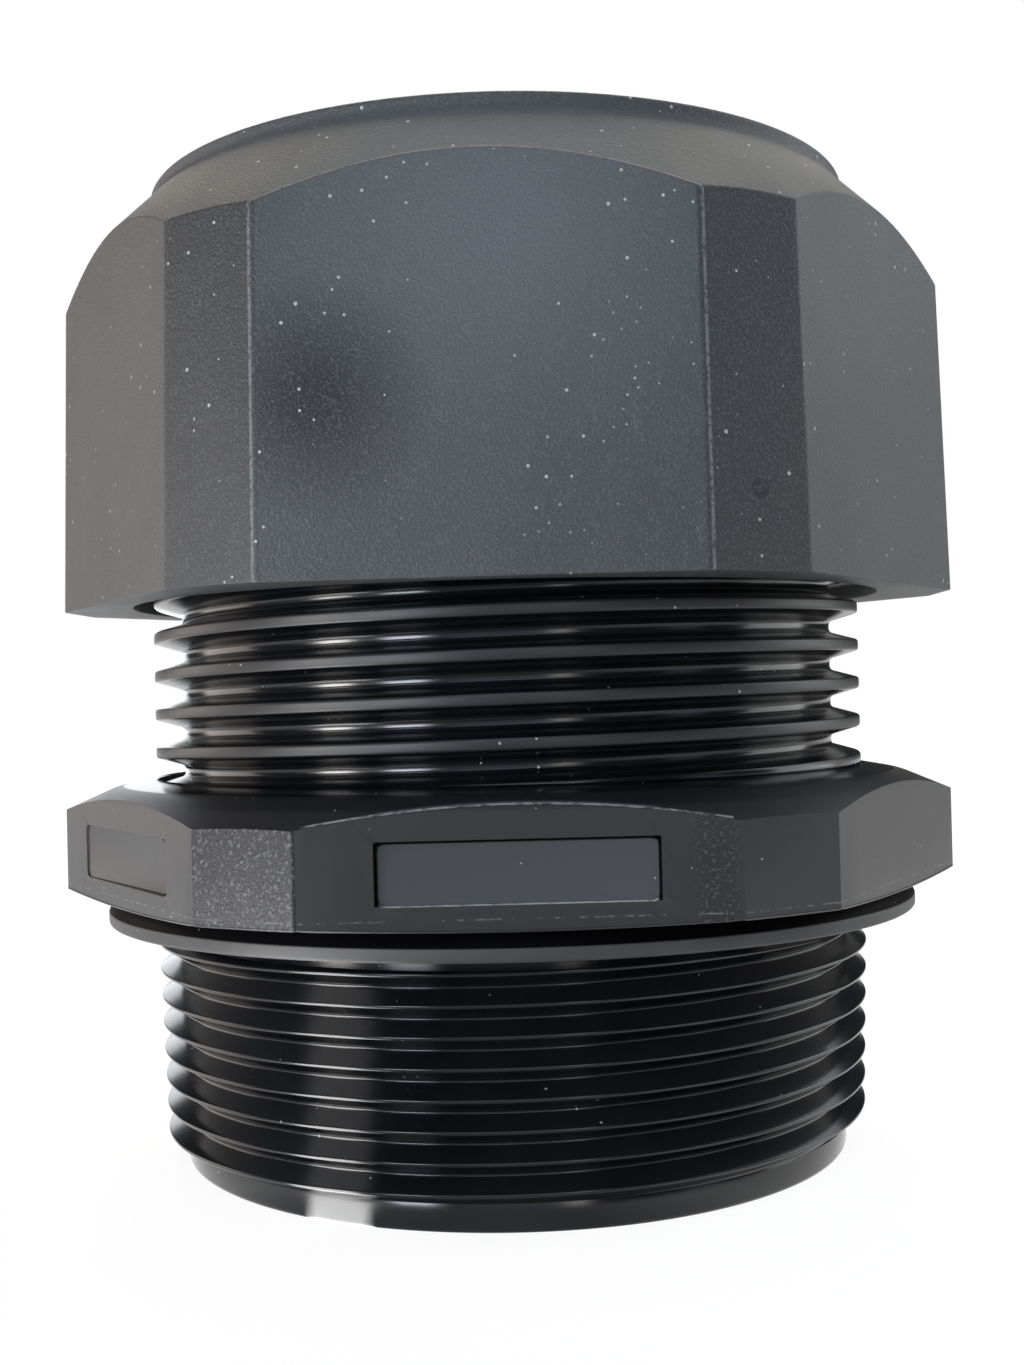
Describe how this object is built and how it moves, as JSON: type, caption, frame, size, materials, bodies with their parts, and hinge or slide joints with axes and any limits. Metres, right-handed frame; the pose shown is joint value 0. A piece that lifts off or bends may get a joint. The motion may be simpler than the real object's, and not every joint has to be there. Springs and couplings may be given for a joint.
{
  "type": "liquid-tight cord grip",
  "caption": "Liquid-tight cord grip with a tapered pipe-thread hub, wrench flange, clamping fingers, sealing grommet and a domed sealing nut that screws down on the grip thread.",
  "frame": {"origin": "on the axis, at the end face of the hub, where the part stands", "axes": "+Z along the axis, from the hub end to the sealing nut; -Y is the front wide flat of the wrench flange, the one with the centred marking panel"},
  "size_m": [0.0754, 0.0708, 0.0801],
  "materials": {
    "body_nylon": "black nylon, glossy on the threads and finely spark-textured on the wrench flange",
    "nut_nylon": "satin black nylon with a fine spark texture",
    "washer_rubber": "dull black rubber",
    "grommet_rubber": "dull black elastomer"
  },
  "bodies": {
    "body": {"cord_grip_body": "body_nylon", "sealing_washer": "washer_rubber"},
    "grommet": {"sealing_grommet": "grommet_rubber"},
    "nut": {"sealing_nut": "nut_nylon"}
  },
  "joints": [
    {"name": "nut_turn", "type": "hinge", "parent": "body", "child": "grommet", "pos_m": [0, 0, 0.05], "axis": [0, 0, 1], "range_deg": [-936, 468]},
    {"name": "nut_travel", "type": "slide", "parent": "grommet", "child": "nut", "axis": [0, 0, 1], "range_m": [-0.00816, 0.00409]}
  ],
  "couplings": [
    {"joint": "nut_travel", "follows": "nut_turn", "m_per_rad": 0.00049815}
  ]
}
